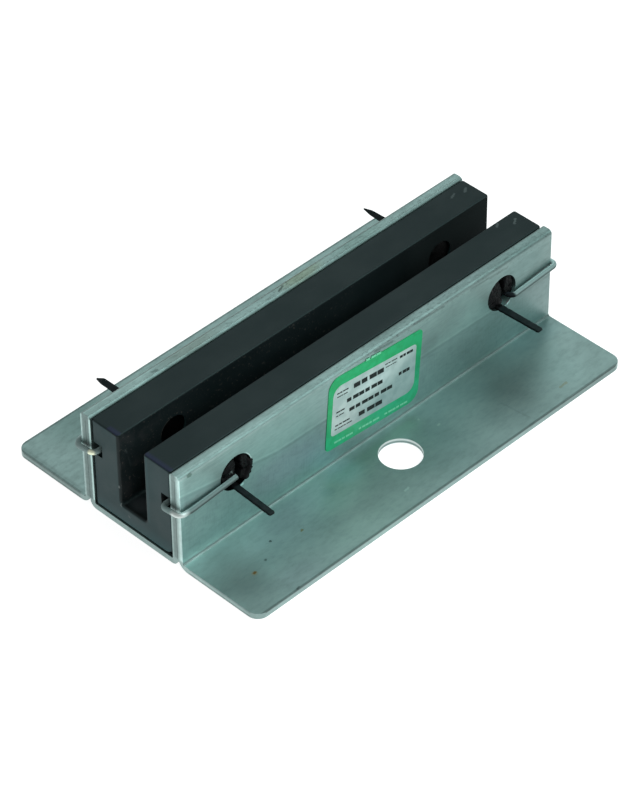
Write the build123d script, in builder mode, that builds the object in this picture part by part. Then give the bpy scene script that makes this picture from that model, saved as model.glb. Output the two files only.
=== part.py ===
from build123d import *
import os

os.makedirs("parts", exist_ok=True)

# Sliding guide shoe for a T-section guide rail. X runs along the rail, Z points away from the
# mounting surface, and the origin is the centre of the underside. The wall with the label faces -Y.

# Housing, one folded sheet: a web, two walls hemmed back on themselves, and two flanges
housing_length = 139.6
flange_span = 92.0
body_width = 37.0
wall_height = 31.8
sheet = 1.8
hem_gap = 0.1
hem_radius = 1.2
web_bend_radius = 0.4
flange_bend_radius = 0.8
flange_fold_radius = 3.6
flange_corner_radius = 3.4
bolt_spacing = 58.0
bolt_hole_diameter = 12.2
wall_hole_diameter = 11.0
hole_inset = 19.65
hole_drop = 10.4

# Liner, a moulded U that lies in the housing and takes the rail blade
liner_end_clearance = 0.2
liner_shift = 0.1
liner_side_clearance = 0.15
liner_recess = 0.4
rail_slot_width = 9.5
liner_floor = 5.8
liner_near_radius = 3.0
liner_far_radius = 1.0
slot_corner_radius = 1.0
mouth_radius = 0.8
liner_top_radius = 0.5
liner_end_radius = 0.8
leg_bore_diameter = 8.8
notch_height = 4.0
notch_width = 3.6
notch_depth = 4.5
notch_near_drop = 1.1
notch_far_rise = 0.4

# Rubber plugs, one in each wall hole, with a slit in the face and a pull strip below it
plug_head_clearance = 0.3
plug_body_clearance = 0.2
plug_body_length = 9.4
plug_edge_radius = 0.5
plug_slit_width = 2.0
plug_slit_floor = 2.5
plug_pocket_clearance = 0.2
strip_width = 1.9
strip_thickness = 0.7
strip_root = 0.6
strip_tip_radius = 0.4

# Retaining clips of spring wire, from a notch in the liner round the wall's end to the plug
wire_diameter = 1.5
wire_clearance = 0.05
wire_bend_radius = 1.6
wire_reach = 2.0
wire_run_start = 3.0
wire_end_depth = 1.9
wire_hook_reach = 2.0
wire_stop_out = 0.6
wire_stop_drop = 0.7
wire_tuck_out = 3.25
wire_tuck_drop = 2.7

# Where each clip's far end lies, by wall and by end: how far outwards and how far up from the
# hole's centre, and whether it is turned into the plug
wire_ends = {
    (-1, -1): (wire_stop_out, -wire_stop_drop, False),
    (-1, 1): (wire_tuck_out, -wire_tuck_drop, True),
    (1, -1): (0, 0, True),
    (1, 1): (0, 0, True),
}

# Label on the near wall
label_width = 35.2
label_thickness = 0.15
label_x = 0.5
label_top_margin = 2.45
label_bottom_margin = 5.65
label_tilt = 4.5
label_large_radius = 3.7
label_small_radius = 1.5

# Faces that several pieces share
outer_face = body_width / 2
inner_face = outer_face - 2 * sheet - hem_gap
gap_outer = outer_face - sheet
gap_inner = gap_outer - hem_gap
hem_center_y = (gap_outer + gap_inner) / 2
hem_center_z = wall_height - (outer_face - inner_face) / 2
liner_face = inner_face - liner_side_clearance
liner_length = housing_length - 2 * liner_end_clearance
liner_height = wall_height - sheet - liner_recess
liner_ends = {-1: liner_shift - liner_length / 2, 1: liner_shift + liner_length / 2}
hole_x = housing_length / 2 - hole_inset
hole_height = wall_height - hole_drop
wire_radius = wire_diameter / 2
label_height = wall_height - label_top_margin - label_bottom_margin

# Housing: half of the folded section is drawn and mirrored, then run along the rail
with BuildPart() as housing:
    with BuildSketch(Plane.YZ):
        with BuildLine():
            Line((0, 0), (0, sheet))
            FilletPolyline(
                (0, sheet),
                (inner_face, sheet),
                (inner_face, hem_center_z),
                radius=web_bend_radius,
            )
            FilletPolyline(
                (inner_face, hem_center_z),
                (inner_face, wall_height),
                (outer_face, wall_height),
                (outer_face, hem_center_z),
                radius=hem_radius,
            )
            FilletPolyline(
                (outer_face, hem_center_z),
                (outer_face, sheet),
                (flange_span / 2, sheet),
                radius=flange_bend_radius,
            )
            Line((flange_span / 2, sheet), (flange_span / 2, 0))
            FilletPolyline(
                (flange_span / 2, 0),
                (gap_outer, 0),
                (gap_outer, hem_center_z),
                radius=flange_fold_radius,
            )
            ThreePointArc(
                (gap_outer, hem_center_z),
                (hem_center_y, hem_center_z + hem_gap / 2),
                (gap_inner, hem_center_z),
            )
            FilletPolyline(
                (gap_inner, hem_center_z),
                (gap_inner, 0),
                (0, 0),
                radius=web_bend_radius + sheet,
            )
        make_face()
        mirror(about=Plane.YZ)
    extrude(amount=housing_length / 2, both=True)
    upright = housing.edges().filter_by(Axis.Z)
    fillet(upright.group_by(Axis.Y)[0] + upright.group_by(Axis.Y)[-1], radius=flange_corner_radius)
    # one bolt hole in each flange
    with Locations((0, bolt_spacing / 2, sheet), (0, -bolt_spacing / 2, sheet)):
        Hole(bolt_hole_diameter / 2, depth=sheet)
    # plug holes through both walls
    with BuildSketch(Plane.XZ.offset(-outer_face)):
        with Locations((-hole_x, hole_height), (hole_x, hole_height)):
            Circle(wall_hole_diameter / 2)
    extrude(amount=body_width, mode=Mode.SUBTRACT)

housing.part.label = "housing"
export_step(housing.part, "parts/housing.step")

# Liner: U section with its slot open at the top and at both ends
with BuildPart() as liner:
    with BuildSketch(Plane.YZ.offset(liner_ends[-1])) as liner_section:
        with Locations((0, sheet)):
            Rectangle(2 * liner_face, liner_height, align=(Align.CENTER, Align.MIN))
        fillet(liner_section.vertices().group_by(Axis.Y)[0].sort_by(Axis.X)[0], radius=liner_near_radius)
        fillet(liner_section.vertices().group_by(Axis.Y)[0].sort_by(Axis.X)[-1], radius=liner_far_radius)
        with Locations((0, sheet + liner_floor)):
            Rectangle(
                rail_slot_width,
                liner_height - liner_floor,
                align=(Align.CENTER, Align.MIN),
                mode=Mode.SUBTRACT,
            )
        slot_corners = liner_section.vertices().filter_by_position(Axis.X, -liner_face / 2, liner_face / 2)
        fillet(slot_corners.group_by(Axis.Y)[0], radius=slot_corner_radius)
    extrude(amount=liner_length)
    # the slot's mouth is rounded at both ends, to lead the rail blade in
    for end in (0, -1):
        end_face = liner.faces().sort_by(Axis.X)[end]
        mouth = [
            edge
            for edge in end_face.edges()
            if abs(edge.center().Y) < liner_face / 2 and edge.center().Z > sheet + liner_floor / 2
        ]
        fillet(mouth, radius=mouth_radius)
    # the legs' outer upright edges, then the edge round the top of each leg
    upright = liner.edges().filter_by(Axis.Z)
    fillet(upright.group_by(Axis.Y)[0] + upright.group_by(Axis.Y)[-1], radius=liner_end_radius)
    fillet(liner.faces().group_by(Axis.Z)[-1].edges(), radius=liner_top_radius)
    # notches in the leg ends, behind the housing walls, for the clips
    for end in (-1, 1):
        with BuildSketch(Plane.YZ.offset(liner_ends[end])):
            with Locations(
                (-liner_face + notch_width / 2, hole_height - notch_near_drop),
                (liner_face - notch_width / 2, hole_height + notch_far_rise),
            ):
                Rectangle(notch_width, notch_height)
        extrude(amount=-end * notch_depth, mode=Mode.SUBTRACT)
    # bores for the plugs through both legs
    with BuildSketch(Plane.XZ.offset(-liner_face)):
        with Locations((-hole_x, hole_height), (hole_x, hole_height)):
            Circle(leg_bore_diameter / 2)
    extrude(amount=2 * liner_face, mode=Mode.SUBTRACT)

liner.part.label = "liner"
export_step(liner.part, "parts/liner.step")

# Plugs: a head in the wall hole, seated on the liner, a body in the liner's bore and the strip.
# Each entry gives the wall, the end, how deep the face lies, the strip's length, its droop, its
# width at the tip and how the plug is turned.
plugs = [
    ("front_near_plug", -1, -1, 1.2, 12.8, 0.9, 1.5, 7.0),
    ("rear_near_plug", -1, 1, 0.7, 14.5, 0.3, 1.3, 0.0),
    ("front_far_plug", 1, -1, 0.3, 18.6, 0.4, 1.5, -38.0),
    ("rear_far_plug", 1, 1, 0.3, 17.4, 0.4, 1.0, -45.0),
]
plug_head_radius = wall_hole_diameter / 2 - plug_head_clearance
for plug_name, side, end, recess, strip_length, strip_droop, strip_tip_width, turn in plugs:
    wall_plane = Plane(
        origin=(end * hole_x, side * outer_face, hole_height),
        x_dir=Vector(-side, 0, 0).rotate(Axis.Y, turn),
        z_dir=(0, side, 0),
    )
    with BuildPart() as plug:
        with BuildSketch(wall_plane.offset(-recess)):
            Circle(plug_head_radius)
        extrude(amount=liner_face - outer_face + recess)
        rim = plug.faces().sort_by(Axis.Y)[-1 if side > 0 else 0].edges()
        fillet(rim, radius=plug_edge_radius)
        with BuildSketch(wall_plane.offset(liner_face - outer_face)):
            Circle(leg_bore_diameter / 2 - plug_body_clearance)
        extrude(amount=-plug_body_length)
        with BuildSketch(wall_plane.offset(-plug_slit_floor)):
            Rectangle(plug_slit_width, 2 * plug_head_radius)
        extrude(amount=plug_slit_floor, mode=Mode.SUBTRACT)
        # a pocket where the clip's end is turned into the head
        end_x, end_z, tucked = wire_ends[side, end]
        if tucked:
            pocket_center = (end * (hole_x + end_x), side * outer_face, hole_height + end_z)
            with BuildSketch(Plane(origin=pocket_center, z_dir=(0, side, 0))):
                Circle(wire_radius + plug_pocket_clearance)
            extrude(amount=-wire_end_depth - plug_pocket_clearance, mode=Mode.SUBTRACT)
        # the strip tapers from its root under the slit to its tip
        strip_y = -plug_head_radius + strip_thickness
        root = wall_plane.from_local_coords((0, strip_y, -plug_slit_floor - strip_root))
        tip = wall_plane.from_local_coords((0, strip_y - strip_droop, strip_length))
        strip_plane = Plane(origin=root, x_dir=wall_plane.x_dir, z_dir=wall_plane.x_dir.cross(tip - root))
        strip_run = (tip - root).length
        with BuildSketch(strip_plane) as strip_outline:
            with BuildLine():
                Polyline(
                    (-strip_width / 2, 0),
                    (-strip_tip_width / 2, strip_run),
                    (strip_tip_width / 2, strip_run),
                    (strip_width / 2, 0),
                    close=True,
                )
            make_face()
            fillet(strip_outline.vertices().group_by(Axis.Y)[-1], radius=strip_tip_radius)
        extrude(amount=strip_thickness / 2, both=True)
    plug.part.label = plug_name
    export_step(plug.part, f"parts/{plug_name}.step")

# Clips: each is one bent wire. The heights are those of the wire's hook in the notch, its wrap
# round the wall's end and the start of its run along the wall, all measured from the hole's
# centre. Then come how far the wire bows out from the wall near its wrap and how far the wrap
# stands off the wall's end.
clips = [
    ("front_near_clip", -1, -1, -2.0, -1.2, -1.6, 0.2, 0.45),
    ("rear_near_clip", -1, 1, -2.0, -1.5, -1.7, 0.2, 0.5),
    ("front_far_clip", 1, -1, 0.1, -0.9, 0.6, 0.4, 0.45),
    ("rear_far_clip", 1, 1, 0.1, -0.9, 0.6, 0.4, 0.45),
]
for clip_name, side, end, hook_z, wrap_z, run_z, bow, standoff in clips:
    end_x, end_z, tucked = wire_ends[side, end]
    wrap_x = end * (housing_length / 2 + wire_radius + standoff)
    run_y = side * (outer_face + wire_radius + wire_clearance)
    hook_y = side * (liner_face - wire_hook_reach)
    path = [
        (liner_ends[end] - end * wire_reach, hook_y, hole_height + hook_z),
        (wrap_x, hook_y, hole_height + hook_z),
        (wrap_x, run_y + side * bow, hole_height + wrap_z),
        (end * (housing_length / 2 - wire_run_start), run_y + side * bow, hole_height + run_z),
        (end * (hole_x + end_x), run_y, hole_height + end_z),
    ]
    if tucked:
        path.append((end * (hole_x + end_x), side * (outer_face - wire_end_depth), hole_height + end_z))
    with BuildPart() as clip:
        with BuildLine() as wire:
            FilletPolyline(*path, radius=wire_bend_radius)
        with BuildSketch(Plane(origin=wire.line @ 0, z_dir=wire.line % 0)):
            Circle(wire_radius)
        sweep()
    clip.part.label = clip_name
    export_step(clip.part, f"parts/{clip_name}.step")

# Label: a thin sheet stuck on the near wall, a little askew, with two large and two small corners
label_plane = Plane(
    origin=(label_x, -outer_face, label_bottom_margin + label_height / 2),
    x_dir=Vector(1, 0, 0).rotate(Axis.Y, label_tilt),
    z_dir=(0, -1, 0),
)
with BuildPart() as label:
    with BuildSketch(label_plane) as label_outline:
        Rectangle(label_width, label_height)
        large = [corner for corner in label_outline.vertices() if corner.X * corner.Y < 0]
        fillet(large, radius=label_large_radius)
        small = [corner for corner in label_outline.vertices() if corner.X * corner.Y > 0]
        fillet(small, radius=label_small_radius)
    extrude(amount=label_thickness)

label.part.label = "label"
export_step(label.part, "parts/label.step")
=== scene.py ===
import math

import bmesh
import bpy
from mathutils import Matrix, Vector, noise


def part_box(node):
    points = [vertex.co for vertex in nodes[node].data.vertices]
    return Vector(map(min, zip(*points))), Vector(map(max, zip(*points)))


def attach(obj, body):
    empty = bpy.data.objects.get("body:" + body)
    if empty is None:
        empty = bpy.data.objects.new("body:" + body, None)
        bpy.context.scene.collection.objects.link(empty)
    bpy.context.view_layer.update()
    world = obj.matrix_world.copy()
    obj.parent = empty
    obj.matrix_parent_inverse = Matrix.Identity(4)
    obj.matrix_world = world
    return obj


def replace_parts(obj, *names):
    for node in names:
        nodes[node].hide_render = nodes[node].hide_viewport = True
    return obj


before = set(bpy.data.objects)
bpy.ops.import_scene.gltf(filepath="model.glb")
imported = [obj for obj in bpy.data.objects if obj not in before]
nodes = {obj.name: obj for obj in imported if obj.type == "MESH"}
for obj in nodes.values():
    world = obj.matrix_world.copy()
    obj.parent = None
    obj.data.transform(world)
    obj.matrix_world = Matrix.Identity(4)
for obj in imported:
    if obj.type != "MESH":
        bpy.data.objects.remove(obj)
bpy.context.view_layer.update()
scene = bpy.context.scene

MM = 0.001

# Sizes that no box of the frame gives, in mm
HEAD_CLEARANCE = 0.3
BODY_RADIUS = 4.2
SLOT_HALF = 4.75
SLOT_FLOOR = 7.6
BOLT_Y = 29.0
BOLT_RADIUS = 6.1

# Sizes of the frame that the finishes and the pieces follow, in mm
front_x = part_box("housing")[0].x / MM
side_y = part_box("housing")[1].y / MM
wall_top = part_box("housing")[1].z / MM
flange_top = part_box("liner")[0].z / MM
liner_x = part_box("liner")[0].x / MM
liner_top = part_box("liner")[1].z / MM
wall_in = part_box("liner")[1].y / MM
near_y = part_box("label")[1].y / MM
wall_out = -near_y
label_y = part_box("label")[0].y / MM
plug_low, plug_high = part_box("rear_near_plug")
head_radius = (plug_high.x - plug_low.x) / 2 / MM
hole_radius = head_radius + HEAD_CLEARANCE
hole_x = (plug_high.x + plug_low.x) / 2 / MM
hole_z = (plug_high.z + plug_low.z) / 2 / MM
body_back_y = plug_high.y / MM

# Camera at the photograph's viewpoint
CAMERA_PLACE = Vector((-0.525029, -0.528208, 0.658657))
CAMERA_AZIMUTH = math.radians(44.76)
CAMERA_ELEVATION = math.radians(41.358)
CAMERA_ROLL = math.radians(-0.592)
CAMERA_LENS = 165.724
CAMERA_SENSOR = 36.0


def add_camera():
    """The camera looks down and along the shoe, from its front near corner."""
    level = math.cos(CAMERA_ELEVATION)
    forward = Vector((
        math.sin(CAMERA_AZIMUTH) * level,
        math.cos(CAMERA_AZIMUTH) * level,
        -math.sin(CAMERA_ELEVATION),
    ))
    side = Vector((math.cos(CAMERA_AZIMUTH), -math.sin(CAMERA_AZIMUTH), 0.0))
    up = side.cross(forward)
    right = side * math.cos(CAMERA_ROLL) + up * math.sin(CAMERA_ROLL)
    top = up * math.cos(CAMERA_ROLL) - side * math.sin(CAMERA_ROLL)
    data = bpy.data.cameras.new("camera")
    data.lens = CAMERA_LENS
    data.sensor_width = CAMERA_SENSOR
    data.clip_start = 0.01
    data.clip_end = 20.0
    camera = bpy.data.objects.new("camera", data)
    turn = Matrix((right, top, -forward)).transposed().to_4x4()
    camera.matrix_world = Matrix.Translation(CAMERA_PLACE) @ turn
    scene.collection.objects.link(camera)
    scene.camera = camera


class Graph:
    """A material's nodes, with one short call for each kind of node that the materials use."""

    def __init__(self, name):
        self.material = bpy.data.materials.new(name)
        self.material.use_nodes = True
        self.tree = self.material.node_tree
        self.shader = self.tree.nodes["Principled BSDF"]
        place = self.add("ShaderNodeTexCoord").outputs["Object"]
        self.mm = self.vector("MULTIPLY", place, (1 / MM, 1 / MM, 1 / MM))
        self.x, self.y, self.z = self.parts(self.mm)
        self.reach = self.math("ABSOLUTE", self.y)
        normal = self.add("ShaderNodeNewGeometry").outputs["Normal"]
        self.facing_x, self.facing_y, self.facing_z = self.parts(normal)
        self.ragged = None

    def add(self, kind, **settings):
        node = self.tree.nodes.new(kind)
        for key, value in settings.items():
            setattr(node, key, value)
        return node

    def put(self, socket, value):
        """Links a socket, or sets it where the value is a number or a tuple."""
        if isinstance(value, bpy.types.NodeSocket):
            self.tree.links.new(value, socket)
        else:
            socket.default_value = value

    def set(self, name, value):
        """Sets one of the shader's own sockets."""
        self.put(self.shader.inputs[name], value)

    def parts(self, vector):
        """The X, Y and Z parts of a vector."""
        node = self.add("ShaderNodeSeparateXYZ")
        self.put(node.inputs[0], vector)
        return tuple(node.outputs)

    def math(self, operation, *values, clamp=False):
        node = self.add("ShaderNodeMath", operation=operation, use_clamp=clamp)
        for socket, value in zip(node.inputs, values):
            self.put(socket, value)
        return node.outputs[0]

    def vector(self, operation, *vectors):
        """An operation on vectors, whose result is a number for LENGTH and DOT_PRODUCT."""
        node = self.add("ShaderNodeVectorMath", operation=operation)
        for socket, value in zip(node.inputs, vectors):
            self.put(socket, value)
        return node.outputs["Value" if operation in ("LENGTH", "DOT_PRODUCT") else "Vector"]

    def times(self, vector, factor):
        """A vector multiplied by one number or socket."""
        node = self.add("ShaderNodeVectorMath", operation="SCALE")
        self.put(node.inputs[0], vector)
        self.put(node.inputs["Scale"], factor)
        return node.outputs[0]

    def noise(self, size, detail=3.0, rough=0.5):
        """Noise whose grains are about size mm along each axis."""
        node = self.add("ShaderNodeTexNoise")
        self.put(node.inputs["Vector"], self.vector("MULTIPLY", self.mm, tuple(1 / s for s in size)))
        self.put(node.inputs["Scale"], 1.0)
        self.put(node.inputs["Detail"], detail)
        self.put(node.inputs["Roughness"], rough)
        return node.outputs["Fac"]

    def ramp(self, value, low, high, bottom=0.0, top=1.0):
        """Runs smoothly from bottom to top as value goes from low to high."""
        node = self.add("ShaderNodeMapRange", interpolation_type="SMOOTHSTEP")
        self.put(node.inputs["Value"], value)
        for key, number in (("From Min", low), ("From Max", high), ("To Min", bottom), ("To Max", top)):
            self.put(node.inputs[key], number)
        return node.outputs[0]

    def band(self, value, low, high, soft):
        """One between low and high, falling to nothing within soft of them."""
        return self.both(self.ramp(value, low - soft, low), self.ramp(value, high + soft, high))

    def patch(self, center, reach, core=0.25):
        """One near a point, falling to nothing at reach mm from it along each axis."""
        offset = self.vector("SUBTRACT", self.mm, center)
        share = self.vector("MULTIPLY", offset, tuple(1 / r for r in reach))
        return self.ramp(self.vector("LENGTH", share), 1.0, core)

    def wandering(self):
        """The surface point moved a little by noise, so that a line drawn by it is ragged."""
        if self.ragged is None:
            wobble = self.add("ShaderNodeTexNoise")
            self.put(wobble.inputs["Vector"], self.mm)
            self.put(wobble.inputs["Scale"], 1.2)
            moved = self.vector("MULTIPLY_ADD", wobble.outputs["Color"], (0.9, 0.9, 0.9), self.mm)
            self.ragged = self.vector("SUBTRACT", moved, (0.45, 0.45, 0.45))
        return self.ragged

    def stroke(self, start, stop, width, soft):
        """One along the line between two points, width mm wide with soft, ragged sides."""
        line = Vector(stop) - Vector(start)
        offset = self.vector("SUBTRACT", self.wandering(), start)
        along = self.vector("DOT_PRODUCT", offset, tuple(line / line.length_squared))
        along = self.math("MULTIPLY", along, 1.0, clamp=True)
        beside = self.vector("SUBTRACT", offset, self.times(tuple(line), along))
        return self.ramp(self.vector("LENGTH", beside), width / 2 + soft, width / 2)

    def from_line(self, place, center, across):
        """How far a place is from a line through center, measured along the axes that are one in across."""
        offset = self.vector("SUBTRACT", place, center)
        return self.vector("LENGTH", self.vector("MULTIPLY", offset, across))

    def from_hole(self, end):
        """How far the surface is from the axis of the plug holes, in front (-1) or at the rear (1)."""
        return self.from_line(self.mm, (end * hole_x, 0.0, hole_z), (1.0, 0.0, 1.0))

    def both(self, first, *others):
        """Where every mask is one."""
        for other in others:
            first = self.math("MULTIPLY", first, other)
        return first

    def mix(self, factor, first, second, blend="MIX"):
        node = self.add("ShaderNodeMix", data_type="RGBA", blend_type=blend)
        colors = [socket for socket in node.inputs if socket.type == "RGBA"]
        self.put(node.inputs["Factor"], factor)
        for socket, color in zip(colors, (first, second)):
            self.put(socket, color if isinstance(color, bpy.types.NodeSocket) else (*color, 1.0))
        return next(socket for socket in node.outputs if socket.type == "RGBA")

    def tint(self, color, mask, factors):
        """Multiplies a color by three factors where the mask is one."""
        return self.mix(mask, color, factors, "MULTIPLY")

    def shade(self, color, mask, factor):
        """Makes a color lighter or darker by one factor where the mask is one."""
        return self.tint(color, mask, (factor, factor, factor))

    def bump(self, height, depth):
        """Bump with its depth in mm."""
        node = self.add("ShaderNodeBump")
        self.put(node.inputs["Strength"], 1.0)
        self.put(node.inputs["Distance"], depth * MM)
        self.put(node.inputs["Height"], height)
        self.set("Normal", node.outputs["Normal"])


def dress(name, material):
    """Gives a CAD node a finished material in place of its plain one."""
    slots = nodes[name].material_slots
    if not slots:
        raise RuntimeError(f"{name} has no material slot")
    for slot in slots:
        slot.material = material


# Patches of the sheet, partly its own mottling and partly painted light and shade: center, reach along each
# axis and how the sheet's color changes there
SHEET_MOTTLE_AND_PAINTED_LIGHT = (
    ((-67, near_y, 12), (16, 6, 12), (1.14, 1.09, 1.09)),
    ((-27, near_y, 27), (44, 6, 9), (1.12, 1.13, 1.13)),
    ((-60, near_y, 29.9), (22, 6, 5), (1.15, 1.14, 1.14)),
    ((-63, near_y, 24), (10, 6, 5), (1.22, 1.22, 1.22)),
    ((-31, near_y, 12), (20, 6, 9), (1.03, 0.90, 0.98)),
    ((59, near_y, 27), (13, 6, 7), (0.88, 0.94, 0.94)),
    ((21.5, near_y, 20.5), (6, 5, 6), (0.82, 0.82, 0.82)),
    ((36, near_y, 6), (22, 6, 16), (0.86, 0.85, 0.85)),
    ((70, near_y, 20), (48, 6, 30), (0.76, 0.78, 0.78)),
    ((-61, -23, flange_top), (20, 13, 5), (1.40, 1.36, 1.36)),
    ((-62, -39, flange_top), (8, 9, 5), (0.91, 0.92, 0.92)),
    ((-22, -26, flange_top), (18, 11, 5), (1.10, 1.16, 1.13)),
    ((-15.4, -23.4, flange_top), (8, 6, 4), (1.07, 1.13, 1.20)),
    ((6.4, -23.0, flange_top), (9, 4.5, 4), (1.22, 1.22, 1.22)),
    ((-51.3, -42.6, flange_top), (11, 6, 4), (0.91, 0.89, 0.91)),
    ((-24, -43, flange_top), (20, 8, 5), (1.08, 1.10, 1.08)),
    ((-24.1, -25.7, flange_top), (3.4, 2.6, 2), (0.88, 0.90, 0.92)),
    ((8, -35, flange_top), (16, 14, 5), (0.86, 0.90, 0.90)),
    ((36, -32, flange_top), (20, 20, 5), (0.88, 0.89, 0.89)),
    ((27.4, -35.9, flange_top), (6, 5, 3), (0.94, 0.95, 0.95)),
    ((55, -34, flange_top), (10, 14, 5), (1.06, 1.08, 1.08)),
    ((60, -22, flange_top), (16, 6, 4), (0.88, 0.91, 0.93)),
    ((24, -30, flange_top), (12, 10, 4), (1.10, 1.08, 1.08)),
    ((-50, 42, flange_top), (16, 12, 5), (0.76, 0.81, 0.80)),
    ((-53, 16.8, wall_top), (10, 3, 2), (1.20, 1.18, 1.18)),
    ((8.6, 16.8, wall_top), (11, 3, 2), (0.93, 0.86, 0.72)),
    ((30, 16.8, wall_top), (14, 3, 2), (0.88, 0.92, 0.90)),
    ((-32, 16.8, wall_top), (14, 3, 2), (0.93, 0.87, 0.84)),
    ((9, -16.2, wall_top), (16, 1.7, 1.5), (0.74, 0.75, 0.75)),
    ((36, -16.4, wall_top), (26, 1.9, 1.5), (0.86, 0.86, 0.87)),
    ((29.7, near_y, 24), (9, 6, 6), (0.92, 0.91, 0.91)),
    ((-66.4, -32.4, flange_top), (5, 4, 3), (0.94, 0.94, 0.94)),
)

# The first mark is a rust spot, with a warm stain round it
RUST_START = (-59.0, -33.8, flange_top)

# Marks drawn on the sheet, the last two of which are painted highlights at the plug holes' rims: start, end,
# width and how the sheet's color changes there
SHEET_MARKS = (
    (RUST_START, (-58.6, -33.6, flange_top), 0.5, (0.75, 0.42, 0.22)),
    ((-47.8, -28.2, flange_top), (-47.7, -28.1, flange_top), 0.3, (0.35, 0.35, 0.35)),
    ((-53.6, -32.3, flange_top), (-53.5, -32.2, flange_top), 0.3, (0.45, 0.45, 0.45)),
    ((-39.2, -31.1, flange_top), (-39.0, -31.0, flange_top), 0.3, (0.8, 0.6, 0.35)),
    ((-55.3, -45.6, flange_top), (-54.6, -45.5, flange_top), 0.4, (0.6, 0.6, 0.6)),
    ((49.6, -41.3, flange_top), (52.2, -41.1, flange_top), 0.4, (0.95, 0.82, 0.7)),
    ((33.6, -34.5, flange_top), (34.7, -43.4, flange_top), 0.3, (0.90, 0.90, 0.90)),
    ((-9.6, -39.7, flange_top), (-8.0, -39.6, flange_top), 0.3, (1.35, 1.35, 1.35)),
    ((15.4, -28.2, flange_top), (15.8, -28.1, flange_top), 0.3, (1.4, 1.35, 1.3)),
    ((13.0, -22.9, flange_top), (13.2, -22.8, flange_top), 0.3, (1.4, 1.35, 1.3)),
    ((-0.1, 16.3, wall_top), (2.1, 17.0, wall_top), 0.25, (0.42, 0.42, 0.42)),
    ((-14.6, near_y, 27.2), (-2.3, near_y, 26.1), 0.3, (0.72, 0.72, 0.72)),
    ((-14.0, near_y, 26.0), (-6.3, near_y, 25.3), 0.3, (0.8, 0.8, 0.8)),
    ((-66.6, near_y, 30.8), (-65.9, near_y, 30.7), 0.7, (0.50, 0.56, 0.52)),
    ((1.0, near_y, 30.6), (7.5, near_y, 30.2), 0.4, (0.6, 0.6, 0.6)),
    ((16.0, near_y, 31.0), (27.0, near_y, 30.4), 0.35, (0.74, 0.74, 0.74)),
    ((38.0, near_y, 30.2), (52.0, near_y, 29.2), 0.35, (0.75, 0.75, 0.75)),
    ((-46.4, 16.4, wall_top), (-44.8, 16.2, wall_top), 0.3, (0.6, 0.6, 0.6)),
    ((-19.3, 16.3, wall_top), (-17.6, 16.1, wall_top), 0.2, (0.8, 0.8, 0.8)),
    ((-5.0, 16.2, wall_top), (-3.8, 16.0, wall_top), 0.2, (0.8, 0.8, 0.8)),
    # Painted highlights: glints at the rear and front plug holes' rims
    ((52.6, near_y, 16.4), (53.1, near_y, 16.8), 0.5, (2.3, 2.3, 2.3)),
    ((-48.3, near_y, 15.7), (-47.9, near_y, 15.9), 0.4, (2.0, 2.0, 2.0)),
)
MARK_SOFT = 0.35

# The walls' crease: its height at mid-length, its fall towards the rear and its steeper rise in front
CREASE_Z = 18.3
CREASE_FALL = 0.02
CREASE_RISE = 0.16
CREASE_BEND_X = -35.0


def above_crease(g):
    """How far the surface lies above the walls' crease, in mm."""
    in_front = g.math("MAXIMUM", g.math("SUBTRACT", CREASE_BEND_X, g.x), 0.0)
    level = g.math("ADD", g.z, g.math("MULTIPLY_ADD", g.x, CREASE_FALL, -CREASE_Z))
    return g.math("MULTIPLY_ADD", in_front, -CREASE_RISE, level)


def wall_faces(g, color, wall, streaks):
    """The walls' crease, drawn as painted shade below it and a painted highlight just above it; the drawn
    lines above it, the brushing below it and the specks along the hems.
    """
    above = above_crease(g)
    # Painted shade below the crease and a painted highlight just above it, where the sheet turns to the light
    color = g.tint(color, g.both(wall, g.ramp(above, 0.3, -0.6)), (0.93, 0.93, 0.945))
    color = g.shade(color, g.both(wall, g.band(above, 0.2, 0.5, 0.4)), 1.12)
    color = g.shade(color, g.both(wall, g.band(above, -0.7, -0.3, 0.5)), 0.90)
    lines = g.both(wall, g.ramp(streaks, 0.52, 0.72), g.ramp(above, 3, 6))
    color = g.tint(color, lines, (0.86, 0.87, 0.87))
    pale = g.both(wall, g.ramp(streaks, 0.48, 0.3), g.ramp(above, 1, 4))
    color = g.shade(color, pale, 1.06)
    specks = g.noise((1.0, 0.5, 0.5), detail=2)
    hem = g.both(
        g.ramp(g.reach, wall_in + 0.55, wall_in + 0.95),
        g.ramp(g.z, wall_top - 3.5, wall_top - 2.5),
        g.ramp(g.x, -30, -5),
    )
    color = g.shade(color, g.both(hem, g.ramp(specks, 0.60, 0.68)), 0.70)
    color = g.shade(color, g.both(hem, g.ramp(specks, 0.40, 0.32)), 1.12)
    brushed = g.noise((0.5, 0.5, 3.5), detail=2)
    low = g.both(wall, g.ramp(above, -1, -3), g.ramp(brushed, 0.5, 0.7))
    return g.tint(color, low, (0.92, 0.92, 0.93))


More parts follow.
